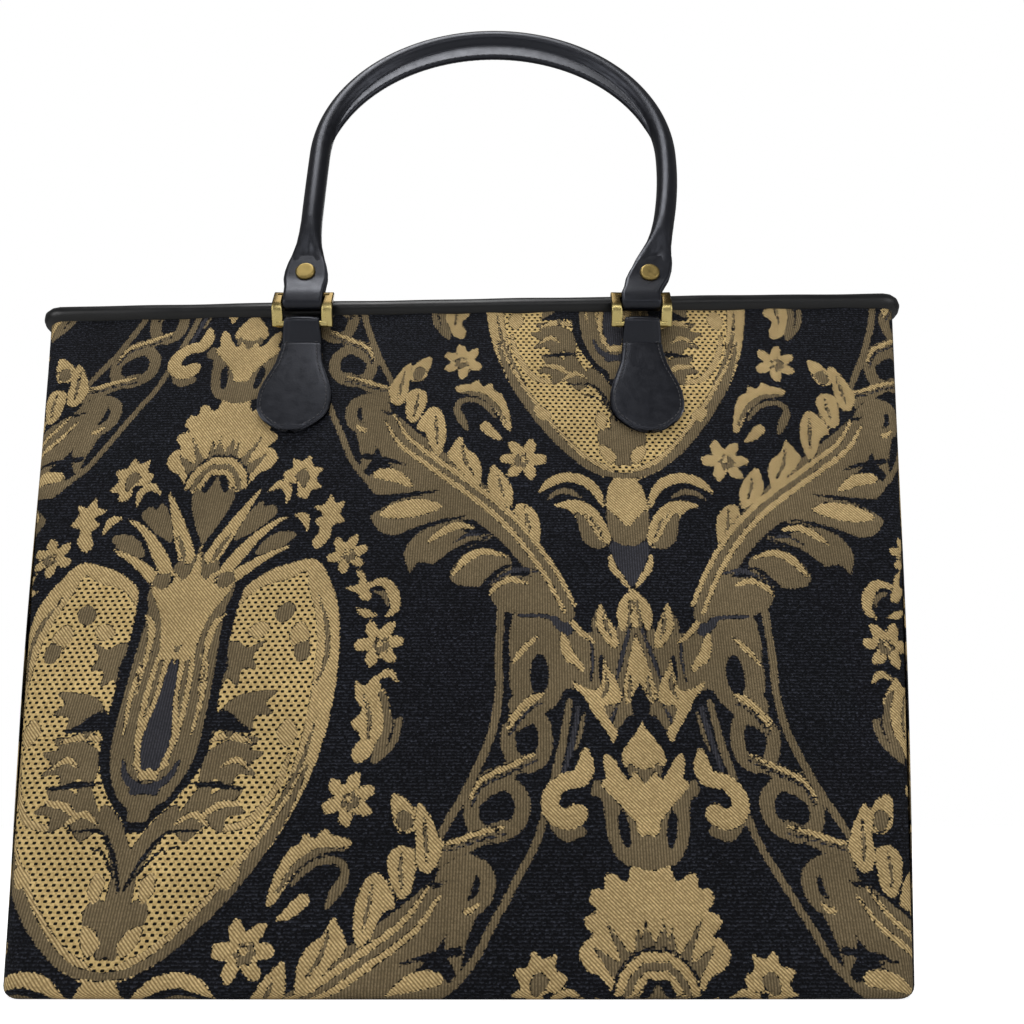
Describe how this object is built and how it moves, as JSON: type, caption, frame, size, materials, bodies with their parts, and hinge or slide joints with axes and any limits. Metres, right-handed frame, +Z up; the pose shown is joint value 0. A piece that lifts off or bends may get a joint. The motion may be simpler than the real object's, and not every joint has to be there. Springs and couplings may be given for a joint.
{
  "type": "carpet bag",
  "caption": "Tapestry carpet bag with an open mouth, a rolled edge, and rolled leather handles that swing on bent brass rings.",
  "frame": {"origin": "middle of the base, on the surface it stands on", "axes": "+X to the right of the front face, -Y out of the front face, +Z up"},
  "size_m": [0.4214, 0.1721, 0.4776],
  "materials": {
    "tapestry": "jacquard weave, gold and bronze on navy black",
    "lining": "plain black cotton",
    "board": "grey board",
    "binding": "smooth black, half gloss",
    "leather": "smooth black, half gloss, stitched",
    "ring_brass": "polished",
    "rivet_brass": "antique"
  },
  "bodies": {
    "bag": {"front_panel": "tapestry", "back_panel": "tapestry", "left_gusset": "tapestry", "right_gusset": "tapestry", "base_panel": "tapestry", "base_board": "board", "lining": "lining", "top_binding": "binding", "front_left_tab": "leather", "front_right_tab": "leather", "back_left_tab": "leather", "back_right_tab": "leather"},
    "front_rings": {"front_left_ring": "ring_brass", "front_right_ring": "ring_brass"},
    "front_grip": {"front_handle": "leather", "front_rivets": "rivet_brass"},
    "back_rings": {"back_left_ring": "ring_brass", "back_right_ring": "ring_brass"},
    "back_grip": {"back_handle": "leather", "back_rivets": "rivet_brass"}
  },
  "joints": [
    {"name": "front_ring_hinge", "type": "hinge", "parent": "bag", "child": "front_rings", "pos_m": [0, -0.0652, 0.27585], "axis": [1, 0, 0], "range_deg": [0, 146]},
    {"name": "front_handle_hinge", "type": "hinge", "parent": "front_rings", "child": "front_grip", "pos_m": [0, -0.06724, 0.29026], "axis": [1, 0, 0], "range_deg": [-13.38, 31.12]},
    {"name": "back_ring_hinge", "type": "hinge", "parent": "bag", "child": "back_rings", "pos_m": [0, 0.0652, 0.27585], "axis": [1, 0, 0], "range_deg": [0, 146]},
    {"name": "back_handle_hinge", "type": "hinge", "parent": "back_rings", "child": "back_grip", "pos_m": [0, 0.07157, 0.26276], "axis": [1, 0, 0], "range_deg": [0, 44.5]}
  ]
}
